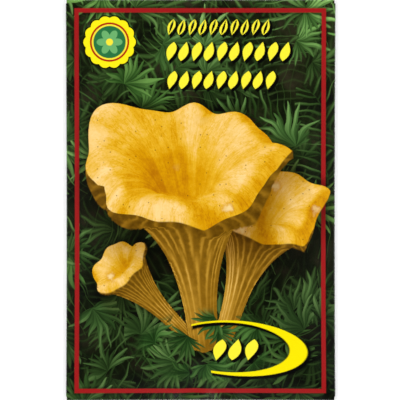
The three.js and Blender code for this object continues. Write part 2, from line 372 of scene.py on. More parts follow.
def sheet_middle(front):
    """The folded sheet's middle surface on a grid, round by along, from the settled front.

    The panels take the front's heights and the two edges' drawing-in; the folds follow the edge
    that they start from, and the back, the lap and the flaps follow it less and less.
    """
    x, level, in_front, _ = stations_round()
    y, end_level, narrowing, _, _ = stations_along()
    ends = end_level > 0
    across = np.clip((x - LEFT_X) / (RIGHT_X - LEFT_X), 0, 1)
    across = np.where(in_front, across, np.round(across))
    up = np.where(ends, y > 0, (y + END_Y) / (2 * END_Y))
    settled = resample(front, across, up)
    flat_x = (LEFT_X + across * (RIGHT_X - LEFT_X))[:, None]
    flat_y = (-END_Y + up * 2 * END_Y)[None, :]

    middle = np.empty((len(x), len(y), 3))
    edge_distance = np.where(in_front, 0, np.minimum(np.abs(x - LEFT_X), np.abs(RIGHT_X - x)))
    flap_distance = np.where(ends, np.maximum(END_Y - np.abs(y), 0), 0)
    follow = np.exp(-edge_distance / FOLLOW)[:, None] * np.exp(-flap_distance / FOLLOW)[None, :]
    middle[..., 0] = x[:, None] + follow * (settled[..., 0] - flat_x)
    middle[..., 1] = y[None, :] + follow * (settled[..., 1] - flat_y)
    middle[..., 2] = np.where(in_front[:, None], settled[..., 2], level[:, None])
    middle[:, ends, 2] = end_level[ends]
    middle[:, ends, 0] *= 1 - narrowing[ends] / RIGHT_X
    return middle


def paper_cells():
    """Which cells of the grid have paper: all those of the front, and all those in the panels."""
    in_front = stations_round()[2]
    in_panels = stations_along()[3]
    front_cell = in_front[:-1] & in_front[1:]
    panel_cell = in_panels[:-1] & in_panels[1:]
    return front_cell[:, None] | panel_cell[None, :]


def sheet_normals(middle, cells):
    """Unit normals at the grid's points: the sum of those of the paper cells that meet there."""
    corners = (middle[:-1, :-1], middle[1:, :-1], middle[1:, 1:], middle[:-1, 1:])
    cell_normal = np.cross(corners[2] - corners[0], corners[3] - corners[1]) * cells[..., None]
    normals = np.zeros_like(middle)
    for a, b in ((0, 0), (1, 0), (1, 1), (0, 1)):
        rows = slice(a, a + cells.shape[0])
        columns = slice(b, b + cells.shape[1])
        normals[rows, columns] += cell_normal
    length = np.linalg.norm(normals, axis=-1, keepdims=True)
    return normals / np.maximum(length, 1e-9)


def cut_edges(cells, number):
    """Quads down the cut edges of the paper cells, from the outer points to the inner ones.

    An inner point's number is its outer point's plus the count of all outer points.
    """
    padded = np.pad(cells, 1)
    walls = []
    for shift_a, shift_b, first, second in (
        (0, -1, (1, 0), (0, 0)),
        (1, 0, (1, 1), (1, 0)),
        (0, 1, (0, 1), (1, 1)),
        (-1, 0, (0, 0), (0, 1)),
    ):
        beside = np.roll(padded, (-shift_a, -shift_b), axis=(0, 1))[1:-1, 1:-1]
        a, b = np.nonzero(cells & ~beside)
        start = number[a + first[0], b + first[1]]
        end = number[a + second[0], b + second[1]]
        walls.append(np.stack([start, end, end + number.size, start + number.size], axis=1))
    return np.concatenate(walls)


def folded_sheet(front):
    """The packet's paper: printed face, bare face and cut edges, closed, with print coordinates."""
    middle = sheet_middle(front)
    cells = paper_cells()
    half = sheet_normals(middle, cells) * PAPER / 2
    number = np.arange(middle[..., 0].size).reshape(middle.shape[:2])
    quads = grid_quads(*number.shape)[cells.ravel()]
    walls = cut_edges(cells, number)

    points = np.concatenate([(middle + half).reshape(-1, 3), (middle - half).reshape(-1, 3)])
    faces = np.concatenate([quads, quads[:, ::-1] + number.size, walls])
    used, faces = np.unique(faces, return_inverse=True)
    faces = faces.reshape(-1, 4)
    piece = build_mesh("folded_packet_paper", points[used], faces.tolist(), SHARP_ANGLE)

    print_x, print_y = np.meshgrid(stations_round()[3], stations_along()[4], indexing="ij")
    print_place = np.stack([print_x, print_y], axis=-1).reshape(-1, 2)
    print_place = np.concatenate([print_place, print_place])[used]
    print_map = piece.data.uv_layers.new(name="print")
    print_map.data.foreach_set("uv", print_place[faces.ravel()].ravel())
    for name, vectors in mushroom_plates(print_x, print_y).items():
        vectors = vectors.reshape(-1, 3)
        attribute = piece.data.attributes.new(name, "FLOAT_VECTOR", "POINT")
        attribute.data.foreach_set("vector", np.concatenate([vectors, vectors])[used].ravel())
    bare = np.ones(len(faces), dtype=np.int32)
    bare[: len(quads)] = 0
    piece.data.polygons.foreach_set("material_index", bare)
    return piece


# ------------------------------------------------------------------ the spawn's mesh

GRAIN_RINGS = 5  # between a grain's two tips
GRAIN_SIDES = 8
FELT_SEED = 11
FELT_ROUND = 96
FELT_RINGS = 20
FELT_HALF_WIDTH = 33
FELT_HALF_HEIGHT = 52
FELT_WAVES = (3, 5, 8, 13, 21)  # of its ragged edge
FELT_RAGGEDNESS = 0.05
FELT_LUMPS = 0.08  # how uneven its top is


def grain_meshes(grains):
    """Every grain's points and faces: rings round a line, their radius falling to 0 at the tips.

    The radius is the square root of 1 - u^2, u running from -1 to 1 between the tips, less a
    crease along the top.
    """
    u = np.sin(np.linspace(-math.pi / 2, math.pi / 2, GRAIN_RINGS + 2))[1:-1]
    turn = np.arange(GRAIN_SIDES) * 2 * math.pi / GRAIN_SIDES
    u, turn = np.meshgrid(u, turn, indexing="ij")
    radius = np.sqrt(1 - u**2) * (1 - 0.3 * (np.cos(turn) > 0.99))
    rings = np.stack([u, radius * np.sin(turn), radius * np.cos(turn)], axis=-1).reshape(-1, 3)
    grain = np.concatenate([rings, [[-1, 0, 0], [1, 0, 0]]])
    x, y, turn, size, lift = grains.T[:, :, None]
    shape = grain * (GRAIN_HALF_LENGTH, GRAIN_HALF_WIDTH, GRAIN_HALF_DEPTH)
    along, across, up = shape.T[:, None, :] * size
    points = np.stack(
        [
            x + along * np.cos(turn) - across * np.sin(turn),
            y + along * np.sin(turn) + across * np.cos(turn),
            GRAIN_FLOOR + lift + GRAIN_HALF_DEPTH * size + up,
        ],
        axis=-1,
    ).reshape(-1, 3)
    parts = ring_faces(GRAIN_RINGS, GRAIN_SIDES)
    copies = (face_list(parts, first) for first in range(0, len(points), len(grain)))
    return points, [face for copy in copies for face in copy]


def felt_mesh():
    """The threads' felt: an oval mat, flat below, rising under the pile, with a ragged edge.

    Its edge's radius is 1 plus five sines of the angle, and its top is the thickness plus a rise
    of 1 - q^2, q being the distance from the middle as a share of the oval.
    """
    random = np.random.default_rng(FELT_SEED)
    turn = np.arange(FELT_ROUND) * 2 * math.pi / FELT_ROUND
    ragged = np.zeros_like(turn)
    for wave in FELT_WAVES:
        phase = random.uniform(0, 2 * math.pi)
        ragged += FELT_RAGGEDNESS / wave**0.7 * np.sin(wave * turn + phase)
    ring = np.linspace(0, 1, FELT_RINGS + 1)[1:]
    ring, turn = np.meshgrid(ring, turn, indexing="ij")
    q = ring * (0.92 + np.minimum(ragged, 0.07))
    x = FELT_HALF_WIDTH * q * np.cos(turn)
    y = BULGE_Y + FELT_HALF_HEIGHT * q * np.sin(turn)
    pile_q = np.hypot(x / PILE_HALF_WIDTH, (y - BULGE_Y) / PILE_HALF_HEIGHT)
    thickness = FELT_THICKNESS + PILE_RISE * np.maximum(1 - pile_q**2, 0)
    thickness = thickness + FELT_LUMPS * random.standard_normal(x.shape)
    thickness *= np.sqrt(1 - np.clip((ring - 0.9) / 0.1, 0, 0.95) ** 2)
    top = np.stack([x, y, FELT_BASE + thickness], axis=-1).reshape(-1, 3)
    bottom = np.stack([x, y, np.full_like(x, FELT_BASE)], axis=-1)[-1]
    middle = [[0, BULGE_Y, FELT_BASE + FELT_THICKNESS + PILE_RISE], [0, BULGE_Y, FELT_BASE]]
    return np.concatenate([top, bottom, middle]), ring_faces(FELT_RINGS + 1, FELT_ROUND)


def build_spawn(grains):
    """The grains and their felt as one piece, with the felt's faces on the second material."""
    grain_points, grain_faces = grain_meshes(grains)
    felt_points, felt_parts = felt_mesh()
    points = np.concatenate([grain_points, felt_points])
    felt_faces = face_list(felt_parts, len(grain_points))
    piece = build_mesh("spawn_grains", points, grain_faces + felt_faces)
    is_felt = [0] * len(grain_faces) + [1] * len(felt_faces)
    piece.data.polygons.foreach_set("material_index", is_felt)
    return piece


# ------------------------------------------------------------------ the printed mushrooms

PICTURE_TILT = math.radians(38)  # the picture looks down on the mushrooms by this much
PICTURE_UP = np.array([0, math.cos(PICTURE_TILT), math.sin(PICTURE_TILT)])
PICTURE_LIGHT = np.array([-0.45, 0.60, 0.66])
SCATTERED_LIGHT = 0.04  # keeps the shaded parts of a cap from going flat
# Shares of the cap's radius: how much the cap dishes, how deep its hollow is, how thick it is at
# least, where its rim starts to turn down, and how far it does.
CAP_DISH = 0.22
HOLLOW_DEPTH = 0.8
CAP_THICKNESS = 0.09
RIM_START = 0.75
RIM_DROP = 0.22
MARCH_STEPS = 220
FAR = 9.0  # an edge distance for places away from a mushroom
# How far round a mushroom its plates reach: beside its foot, below it, and round its cap.
BESIDE_FOOT, BELOW_FOOT, ROUND_CAP = 18, 14, 10

# Each mushroom: foot, middle of the cap, cap radius, foot radius, and the cap's waves as
# (count, widening, lift, shift). The last one covers those before it.
TRUMPETS = {
    "small": (
        (-5, -50), (-32, -23), 12.5, 3.0,
        ((2, 0.05, 0.05, 1.2), (3, 0.05, 0.08, 4.0), (5, 0.05, 0.07, 0.5), (9, 0.03, 0.04, 5.0)),
    ),
    "middle": (
        (9, -50), (25, 2), 23, 4.2,
        ((2, 0.04, 0.06, 2.4), (3, 0.06, 0.09, 0.2), (5, 0.06, 0.07, 3.3), (9, 0.03, 0.045, 1.0)),
    ),
    "large": (
        (1, -53), (-7, 18), 37, 6.0,
        (
            (2, 0.05, 0.04, 0.4), (3, 0.06, 0.085, 1.9), (5, 0.05, 0.06, 0.3),
            (8, 0.04, 0.045, 2.0), (13, 0.018, 0.025, 0.7),
        ),
    ),
}


class Trumpet:
    """A funnel-shaped mushroom in the picture's space: x right, y up, z towards the reader."""

    def __init__(self, foot, cap, radius, foot_radius, waves):
        self.foot = np.array([*foot, 0.0])
        self.radius, self.foot_radius, self.waves = radius, foot_radius, waves
        axis = PICTURE_UP * (cap[1] - foot[1]) / math.cos(PICTURE_TILT) + (cap[0] - foot[0], 0, 0)
        self.height = np.linalg.norm(axis)
        self.axis = axis / self.height
        side = np.array([self.axis[1], -self.axis[0], 0])
        self.side = side / np.linalg.norm(side)
        self.front = np.cross(self.side, self.axis)

    def around(self, points):
        """Height along the axis, distance from it as a share of the cap's, angle, and wave lift."""
        off = points - self.foot
        across, forward = off @ self.side, off @ self.front
        angle = np.arctan2(across, forward)
        rim, lift = 1.0, 0.0
        for count, widening, rise, shift in self.waves:
            rim = rim + widening * np.sin(count * angle + shift)
            lift = lift + rise * np.sin(count * angle + shift + 0.9)
        share = np.hypot(across, forward) / (self.radius * rim)
        turned_down = RIM_DROP * (np.maximum(share - RIM_START, 0) / (1 - RIM_START)) ** 2
        lift = self.radius * (lift * np.minimum(share, 1.1) ** 2.2 - turned_down)
        return off @ self.axis, share, angle, lift

    def lid(self, share, lift):
        """The cap's upper face without its hollow: a shallow cone with the rim's waves."""
        return self.height - CAP_DISH * self.radius * (1 - share) + lift

    def upper(self, share, lift):
        """The lid less the hollow, which is two bell curves of the distance from the axis."""
        hollow = np.exp(-((share / 0.22) ** 2)) + 0.35 * np.exp(-((share / 0.45) ** 2))
        return self.lid(share, lift) - HOLLOW_DEPTH * self.radius * hollow

    def lower(self, share, lift):
        """The outside, which climbs from the foot's radius as a power of the distance."""
        inner = self.foot_radius * 0.85 / self.radius
        outwards = np.clip((share - inner) / (1 - inner), 0, 1.3)
        under = CAP_THICKNESS + CAP_DISH * (1 - share)
        rising = self.height * outwards**0.32 - under * self.radius + lift
        return np.minimum(rising, self.upper(share, lift) - CAP_THICKNESS * self.radius)

    def body(self, points):
        """Below 0 inside the mushroom."""
        height, share, _, lift = self.around(points)
        above, below = height - self.upper(share, lift), self.lower(share, lift) - height
        outside = (share - 1) * self.radius
        return np.maximum.reduce([above, below * 0.5, outside, -height])

    def lid_edge(self, x, y):
        """About how far outside the lid the lines of sight pass: below 0 where they meet it."""
        cap = self.foot + self.axis * self.height
        off_cap = (x - cap[0]) * self.axis[0] + (y - cap[1]) * self.axis[1]
        points = np.stack([x, y, cap[2] - off_cap / self.axis[2]], axis=-1)
        share = self.around(self.onto(points, self.lid))[1]
        return (share - 1) * self.radius * 0.8

    def off(self, points, face):
        """How far the points are above the upper or lower face, along the axis."""
        height, share, _, lift = self.around(points)
        return height - face(share, lift)

    def onto(self, points, face, rounds=6):
        """Points slid along the line of sight onto a face, by Newton's method in short steps."""
        points = points.copy()
        step = np.array([0, 0, 0.2])
        for _ in range(rounds):
            slope = (self.off(points + step, face) - self.off(points - step, face)) / 0.4
            slope = np.where(np.abs(slope) < 0.1, 0.1, slope)
            points[:, 2] -= np.clip(self.off(points, face) / slope, -1.5, 1.5)
        return points

    def lit(self, points, face):
        """How squarely the light meets the upper or lower face at these points, 0 to 1."""
        steps = np.eye(3) * 0.3
        slopes = [self.off(points + step, face) - self.off(points - step, face) for step in steps]
        normal = np.stack(slopes, axis=-1) * (1 if face == self.upper else -1)
        normal /= np.linalg.norm(normal, axis=-1, keepdims=True) + 1e-9
        return np.clip(normal @ (PICTURE_LIGHT / np.linalg.norm(PICTURE_LIGHT)), 0, 1)

    def seen(self, x, y):
        """The picture at places x and y, from lines of sight stepped through the mushroom.

        Returns the outline's and the upper face's edge values, below 0 inside, and for the upper
        and the lower face where it is seen, its brightness, and the angle and distance from the
        axis. Behind the axis only the upper face can be seen.
        """
        reach = 0.62 * self.height + 0.9 * self.radius  # well in front of the mushroom and behind it
        depths = np.linspace(reach, -reach, MARCH_STEPS)
        points = np.stack(np.broadcast_arrays(x, y, depths[:, None]), axis=-1)
        value = self.body(points)
        edge = value.min(axis=0)
        lid_edge = np.maximum(self.lid_edge(x, y), edge + 0.1)
        inside = value < 0
        hit = inside.any(axis=0)
        first = np.where(hit, inside.argmax(axis=0), value.argmin(axis=0))
        place = np.arange(len(x))
        here, before = value[first, place], value[np.maximum(first - 1, 0), place]
        back = np.where(hit, -here / np.maximum(before - here, 1e-6), 0)
        depth = depths[first] + (depths[0] - depths[1]) * np.clip(back, 0, 1)
        points = np.stack([x, y, depth], axis=-1)
        behind = smooth_step(0.0, 0.35, (self.foot - points) @ self.front / self.radius)
        lid_edge = lid_edge + behind * (edge + 0.1 - lid_edge)

        upper_seen, lower_seen = hit & (lid_edge < 0), hit & (lid_edge > 0)
        on_upper = self.onto(points, self.upper)
        _, upper_share, upper_angle, _ = self.around(on_upper)
        hollow = 1 - 0.22 * np.exp(-((upper_share / 0.26) ** 2))
        direct = 0.55 + 1.25 * (self.lit(on_upper, self.upper) - 0.86)
        upper_light = 0.5 * (direct + np.sqrt(direct**2 + SCATTERED_LIGHT)) * hollow
        upper_light += 0.2 * smooth_step(0.8, 1.0, upper_share)
        on_lower = self.onto(points, self.lower)
        height, share, angle, _ = self.around(on_lower)
        shadow = 1 - 0.55 * smooth_step(0.25, 0.95, share)
        foot_shade = 0.72 + 0.28 * smooth_step(0, 0.25, height / self.height)
        lower_light = (0.30 + 0.70 * self.lit(on_lower, self.lower)) * shadow * foot_shade
        upper = (upper_light, upper_angle, upper_share)
        return edge, lid_edge, (upper_seen, upper), (lower_seen, (lower_light, angle, share))


def spread(values, known, rounds=5):
    """Carries known values of a grid into their unknown neighbours, a cell a round."""

    def with_neighbours(grid):
        """The sum of each cell and the eight round it."""
        padded = np.pad(grid, 1)
        rows = padded[:-2] + padded[1:-1] + padded[2:]
        return rows[:, :-2] + rows[:, 1:-1] + rows[:, 2:]

    values, known = np.where(known, values, 0.0), known.astype(float)
    for _ in range(rounds):
        total, count = with_neighbours(values), with_neighbours(known)
        new = (known == 0) & (count > 0)
        values = np.where(new, total / np.maximum(count, 1), values)
        known = np.where(new, 1.0, known)
    return values


def smoothed(values):
    """The mean of each grid value and its four neighbours."""
    padded = np.pad(values, 1, mode="edge")
    beside = padded[:-2, 1:-1] + padded[2:, 1:-1] + padded[1:-1, :-2] + padded[1:-1, 2:]
    return 0.5 * values + 0.125 * beside


def mushroom_plates(print_x, print_y):
    """For each mushroom, three vectors at the sheet's points for the print to read.

    "edge" holds the outline's edge value and the upper face's; "upper" and "lower" hold each
    face's brightness, the angle round the axis and the distance from it.
    """
    plates = {}
    for name, sizes in TRUMPETS.items():
        trumpet = Trumpet(*sizes)
        cap = trumpet.foot + trumpet.axis * trumpet.height
        foot_x, foot_y, _ = trumpet.foot
        reach = trumpet.radius * 1.25 + ROUND_CAP
        near = print_x > min(foot_x - BESIDE_FOOT, cap[0] - reach)
        near &= print_x < max(foot_x + BESIDE_FOOT, cap[0] + reach)
        near &= (print_y > foot_y - BELOW_FOOT) & (print_y < cap[1] + reach)
        edge, lid_edge, *faces = trumpet.seen(print_x[near], print_y[near])
        edges = np.full((*print_x.shape, 3), FAR)
        edges[near, 0], edges[near, 1] = edge, lid_edge
        plates[name + "_edge"] = edges
        for side, (seen, values) in zip(("_upper", "_lower"), faces):
            known = np.zeros(print_x.shape, bool)
            known[near] = seen
            layers = []
            for value in values:
                grid = np.zeros(print_x.shape)
                grid[near] = value
                layers.append(smoothed(spread(grid, known)))
            plates[name + side] = np.stack(layers, axis=-1)
    return plates


# ------------------------------------------------------------------ formulas made of shader nodes


class Wire:
    """A socket of a node tree in a formula: each step of the formula becomes a node.

    The other values may be wires or plain numbers. least and most are the smaller and the larger of
    two values; whole and part are a value's floor and what it has above that.
    """

    def __init__(self, socket):
        self.socket = socket
        self.tree = socket.id_data

    def math(self, operation, *others):
        return made(self.tree, "ShaderNodeMath", self, *others, operation=operation)

    def __add__(self, other):
        return self.math("ADD", other)

    def __sub__(self, other):
        return self.math("SUBTRACT", other)

    def __mul__(self, other):
        return self.math("MULTIPLY", other)

    def __truediv__(self, other):
        return self.math("DIVIDE", other)

    __radd__ = __add__
    __rmul__ = __mul__

    def __rsub__(self, other):
        return (self * -1).math("ADD", other)

    def __neg__(self):
        return self * -1

    def __abs__(self):
        return self.math("ABSOLUTE")

    def __pow__(self, power):
        return self.math("POWER", power)

    def least(self, other):
        return self.math("MINIMUM", other)

    def most(self, other):
        return self.math("MAXIMUM", other)

    def sine(self):
        return self.math("SINE")

    def whole(self):
        return self.math("FLOOR")

    def part(self):
        return self.math("FRACT")

    def ease(self, start, end, low=0.0, high=1.0):
        """An S-curve from low at start to high at end; start may be the larger."""
        values = (self, start, end, low, high)
        return made(self.tree, "ShaderNodeMapRange", *values, interpolation_type="SMOOTHSTEP")

    def split(self):
        node = new_node(self.tree, "ShaderNodeSeparateXYZ")
        plug(self.tree, self, node.inputs[0])
        return tuple(Wire(output) for output in node.outputs)


def new_node(tree, kind, **settings):
    """A node set out in columns of twelve, with its properties set."""
    node = tree.nodes.new(kind)
    place = len(tree.nodes) - 1
    node.location = (190 * (place // 12), -170 * (place % 12))
    for name, value in settings.items():
        setattr(node, name, value)
    return node


def plug(tree, value, socket):
    """Links a wire to a socket, or sets a plain number, vector or colour on it."""
    if isinstance(value, Wire):
        tree.links.new(value.socket, socket)
    elif isinstance(value, (tuple, list)) and len(value) < len(socket.default_value):
        socket.default_value = (*value, 1.0)
    else:
        socket.default_value = value


def made(tree, kind, *values, **settings):
    """A wire from a new node of this kind, with values for its inputs in their order."""
    node = new_node(tree, kind, **settings)
    for socket, value in zip(node.inputs, values):
        plug(tree, value, socket)
    return Wire(node.outputs[0])


def join(tree, x, y, z=0.0):
    """A vector of three numbers."""
    return made(tree, "ShaderNodeCombineXYZ", x, y, z)


def blend(tree, factor, low, high, way="MIX"):
    """Colour low where the factor is 0 and high where it is 1, or another way of blending."""
    node = new_node(tree, "ShaderNodeMix", data_type="RGBA", blend_type=way)
    plug(tree, factor, node.inputs["Factor"])
    plug(tree, low, node.inputs[6])
    plug(tree, high, node.inputs[7])
    return Wire(node.outputs[2])


def vector(tree, operation, *values):
    """A vector from a step of arithmetic on vectors."""
    return made(tree, "ShaderNodeVectorMath", *values, operation=operation)


def bent(tree, place, wander, reach):
    """A place moved about by a noise colour, by up to half the reach each way."""
    return vector(tree, "MULTIPLY_ADD", wander, (reach, reach, 0.0), place)


def noise(tree, place, scale, detail=2.0, roughness=0.5, flat=True):
    """Cloudy noise: its value and its colour."""
    node = new_node(tree, "ShaderNodeTexNoise", noise_dimensions="2D" if flat else "3D")
    plug(tree, place, node.inputs["Vector"])
    plug(tree, scale, node.inputs["Scale"])
    node.inputs["Detail"].default_value = detail
    node.inputs["Roughness"].default_value = roughness
    return Wire(node.outputs["Fac"]), Wire(node.outputs["Color"])


def cell_noise(tree, place, scale, randomness=0.8):
    """Voronoi cells: the distance to the nearest one's middle, its random colour, and its middle."""
    node = new_node(tree, "ShaderNodeTexVoronoi", voronoi_dimensions="2D")
    plug(tree, place, node.inputs["Vector"])
    plug(tree, scale, node.inputs["Scale"])
    node.inputs["Randomness"].default_value = randomness
    return tuple(Wire(node.outputs[name]) for name in ("Distance", "Color", "Position"))


def chance(tree, place):
    """A random number for each value of a vector."""
    return made(tree, "ShaderNodeTexWhiteNoise", place, noise_dimensions="3D")


def ramp(tree, value, stops):
    """A colour for a value: stops are (place, 8-bit sRGB colour) pairs."""
    node = new_node(tree, "ShaderNodeValToRGB")
    elements = node.color_ramp.elements
    while len(elements) < len(stops):
        elements.new(1.0)
    for element, (place, shown) in zip(elements, stops):
        element.position = place
        element.color = (*ink(*shown), 1.0)
    plug(tree, value, node.inputs[0])
    return Wire(node.outputs[0])


def ink(red, green, blue):
    """The linear colour whose print, in the studio's light, shows as this 8-bit sRGB colour."""

    def linear(value):
        """An 8-bit sRGB number as a linear one."""
        value /= 255
        return value / 12.92 if value <= 0.04045 else ((value + 0.055) / 1.055) ** 2.4

    shown = (linear(value) - VARNISH_HAZE for value in (red, green, blue))
    return tuple(max(value, 0.0005) * INK_STRENGTH for value in shown)


def overprint(tree, colour, edge, shown, soft=0.15):
    """A colour with an 8-bit sRGB colour printed over it where an edge value is below 0."""
    return blend(tree, edge.ease(soft, -soft), colour, ink(*shown))


def new_group(name, inputs, outputs):
    """A shader node group; returns it, its inputs as wires, and a function that sets its outputs."""
    group = bpy.data.node_groups.new(name, "ShaderNodeTree")
    kinds = {"value": "NodeSocketFloat", "vector": "NodeSocketVector", "colour": "NodeSocketColor"}
    for title, kind in inputs.items():
        group.interface.new_socket(title, in_out="INPUT", socket_type=kinds[kind])
    for title, kind in outputs.items():
        group.interface.new_socket(title, in_out="OUTPUT", socket_type=kinds[kind])
    source = new_node(group, "NodeGroupInput")

    def give(**wires):
        """Wires the group's outputs."""
        sink = new_node(group, "NodeGroupOutput")
        for title, wire in wires.items():
            plug(group, wire, sink.inputs[title])

    return group, {title: Wire(source.outputs[title]) for title in inputs}, give


def use_group(tree, group, **values):
    """Places a node group in a tree and returns its outputs as wires."""
    node = new_node(tree, "ShaderNodeGroup", node_tree=group)
    for title, value in values.items():
        plug(tree, value, node.inputs[title])
    return {output.name: Wire(output) for output in node.outputs}


# ------------------------------------------------------------------ the printed picture's groups

INK_STRENGTH = 0.8  # the studio's light shows a base colour 1 / 0.8 times as bright
VARNISH_HAZE = 0.003  # what the varnish adds to a colour from above
LINE_SOFT = 0.16  # half the softness of a printed edge


def place_in_cell(tree, place, cell):
    """Forward and sideways places in the nearest Voronoi cell's own turned frame, and its odds."""
    _, colour, middle = cell_noise(tree, place, cell ** -1.0, 0.85)
    turn_odds, tint_odds, bend_odds = colour.split()
    x, y, _ = vector(tree, "SUBTRACT", place, middle).split()
    turn = turn_odds * (2 * math.pi)
    cosine, sine = turn.math("COSINE"), turn.sine()
    u = x * cosine + y * sine
    v = y * cosine - x * sine + u * u * (bend_odds - 0.5) * 0.04
    return u, v, turn_odds, tint_odds


LAYER_SIZES = ("Cell", "Reach", "Leaves", "Width", "Blur")
LAYER_INPUTS = {"Place": "vector", **dict.fromkeys(LAYER_SIZES, "value")}
LAYER_OUTPUTS = dict.fromkeys(("Mask", "Light", "Tint"), "value")


def leaf_light(across, out, odds, tint, side):
    """A leaf's brightness: brighter outwards, along its vein and on the side that faces up."""
    vein = abs(across).ease(0.0, 0.28, 1.22, 1.0)
    lit = (across * side).ease(-0.25, 0.25, 0.74, 1.08)
    return (0.35 + 0.65 * odds) * out.ease(0.0, 0.7, 0.6, 1.1) * vein * lit * (tint * 0.5 + 0.65)


def twig_group():
    """A layer of leafy twigs, one to a Voronoi cell, at random turns.

    In a twig's own place (u along it, v across it) a leaf starts at rib point w = u - 0.75 |v|
    and runs outwards; leaves stand at jittered pitches of w, and shorten towards the twig's ends.
    """
    tree, given, give = new_group("leafy_twigs", LAYER_INPUTS, LAYER_OUTPUTS)
    reach, blur = given["Reach"], given["Blur"]
    pitch = reach * 2 / given["Leaves"]
    u, v, turn, tint = place_in_cell(tree, given["Place"], given["Cell"])
    side, away = v.math("SIGN"), abs(v)
    along = u / reach
    start = u - away * 0.75 + away * away * 0.015
    phase = start / pitch + side * 0.27
    odds = chance(tree, join(tree, phase.whole(), side, turn * 97))
    across = (phase.part() - 0.5 + (odds - 0.5) * 0.3) * pitch * 0.8
    room = (1.05 - (start / reach) ** 2.0).most(0.0).math("SQRT")
    length = (reach * room * (0.45 + odds * 0.38) * odds.ease(0.10, 0.11)).most(0.1)
    out = away / length
    half_width = (1 - out).most(0.0) ** 0.7 * (out + 0.24).least(0.5) * given["Width"]
    leaf = (abs(across) - half_width).ease(blur, -blur)
    inside = abs(along).ease(1.05, 0.95)
    rib = (away - 0.22 * (1.2 - along)).ease(blur, -blur)
    light = leaf_light(across, out, odds, tint, side)
    give(Mask=leaf.most(rib) * inside, Light=light, Tint=tint)
    return tree


def tuft_group():
    """A layer of tufts, one to a Voronoi cell: pointed leaves that fan out from a foot.

    With r the distance from the foot and a the turn from the tuft's middle, leaves stand at
    jittered steps of a (1 - 0.018 r), and their half-width is t^0.6 (1 - t)^0.9, t being r over the
    length.
    """
    tree, given, give = new_group("pointed_tufts", LAYER_INPUTS, LAYER_OUTPUTS)
    reach, blur = given["Reach"], given["Blur"]
    u, v, turn, tint = place_in_cell(tree, given["Place"], given["Cell"])
    u = u + reach * 0.42
    r = (u * u + v * v).math("SQRT")
    angle = v.math("ARCTAN2", u)
    step = given["Leaves"] ** -1.0 * 3.0
    phase = angle * (1 - r * 0.018) / step + turn * 7
    odds = chance(tree, join(tree, phase.whole(), tint * 53, turn * 97))
    across = (phase.part() - 0.5 + (odds - 0.5) * 0.3) * step * r
    length = reach * (0.62 + 0.42 * odds) * (1 - angle * angle * 0.12)
    out = r / length
    profile = out ** 0.6 * (1 - out).most(0.0) ** 0.9 * 2.6
    leaf = (abs(across) - profile * given["Width"]).ease(blur, -blur)
    inside = abs(angle).ease(1.62, 1.55) * out.ease(1.0, 0.93)
    light = leaf_light(across, out, odds, tint, 1.0)
    give(Mask=leaf * inside, Light=light, Tint=tint)
    return tree


GILL_INKS = (
    (0.03, (84, 56, 10)), (0.22, (138, 98, 22)), (0.45, (184, 138, 44)), (0.8, (226, 180, 92)),
)
CAP_INKS = (
    (0.0, (184, 115, 2)), (0.14, (202, 136, 3)), (0.30, (217, 156, 6)),
    (0.50, (233, 180, 40)), (0.67, (241, 193, 90)), (0.90, (252, 215, 143)),
)


def mushroom_group():
    """Prints a mushroom, from its vectors, over the colour under it."""
    inputs = {**dict.fromkeys(("Place", "Edge", "Upper", "Lower"), "vector"), "Under": "colour"}
    tree, given, give = new_group("printed_mushroom", inputs, {"Colour": "colour"})
    place = given["Place"]
    edge, upper_edge, _ = given["Edge"].split()
    shade = edge.ease(6.0, 0.0, 0.0, 0.75)
    colour = blend(tree, shade, given["Under"], (0.26, 0.17, 0.06), "MULTIPLY")

    light, angle, share = given["Lower"].split()
    wander, _ = noise(tree, place, 0.45, 2)
    fold = angle * 17 + wander * 0.9
    ridge = (fold.sine() * 0.5 + 0.5) ** 4.0
    fine = ((fold * 2 + 1.3).sine() * 0.5 + 0.5) ** 3.0
    ridge = ridge + (fine - ridge) * share.ease(0.28, 0.5)
    ridge = 0.25 + (ridge - 0.25) * share.ease(0.17, 0.27, 0.35, 1.0)
    lower = ramp(tree, light * (0.58 + 1.05 * ridge) + (wander - 0.5) * 0.16, GILL_INKS)
    colour = blend(tree, edge.ease(LINE_SOFT, -LINE_SOFT), colour, lower)

    light, angle, share = given["Upper"].split()
    round_x, round_y = angle.sine(), angle.math("COSINE")
    streak, _ = noise(tree, join(tree, round_x * 5.5, round_y * 5.5, share * 1.6), 1.0, 3, 0.6, False)
    mottle, wander = noise(tree, place, 0.16, 5, 0.62)
    grain, _ = noise(tree, place, 1.1, 3, 0.6)
    streak_depth = share.ease(0.05, 0.5, 0.25, 0.6)
    crease, _ = noise(tree, join(tree, round_x * 9, round_y * 9, share * 3.5), 1.0, 4, 0.7, False)
    creased = abs(crease - 0.5).ease(0.04, 0.0) * share.ease(0.2, 0.6, 0.03, 0.16)
    skin = light * 0.86 + (mottle - 0.5) * 0.5 + (grain - 0.5) * 0.22 + (streak - 0.5) * streak_depth
    upper = ramp(tree, skin - creased + 0.13, CAP_INKS)
    scar, scar_odds, _ = cell_noise(tree, bent(tree, place, wander, 6.0), 0.12, 1.0)
    scarred = scar_odds.split()[1].ease(0.86, 0.90)
    upper = blend(tree, scar.ease(0.36, 0.14) * scarred * 0.35, upper, ink(198, 124, 22))
    upper = blend(tree, scar.ease(0.24, 0.04) * scarred * 0.7, upper, ink(253, 230, 168))
    crumb, crumb_odds, _ = cell_noise(tree, place, 0.42, 1.0)
    speck = crumb.ease(0.14, 0.05) * crumb_odds.split()[0].ease(0.88, 0.92)
    upper = blend(tree, speck * 0.75, upper, ink(112, 70, 22))
    give(Colour=blend(tree, upper_edge.ease(LINE_SOFT, -LINE_SOFT), colour, upper))
    return tree


ROW_SIZES = ("Left", "Low", "Height", "Pitch", "Count", "Plump", "Hollow")


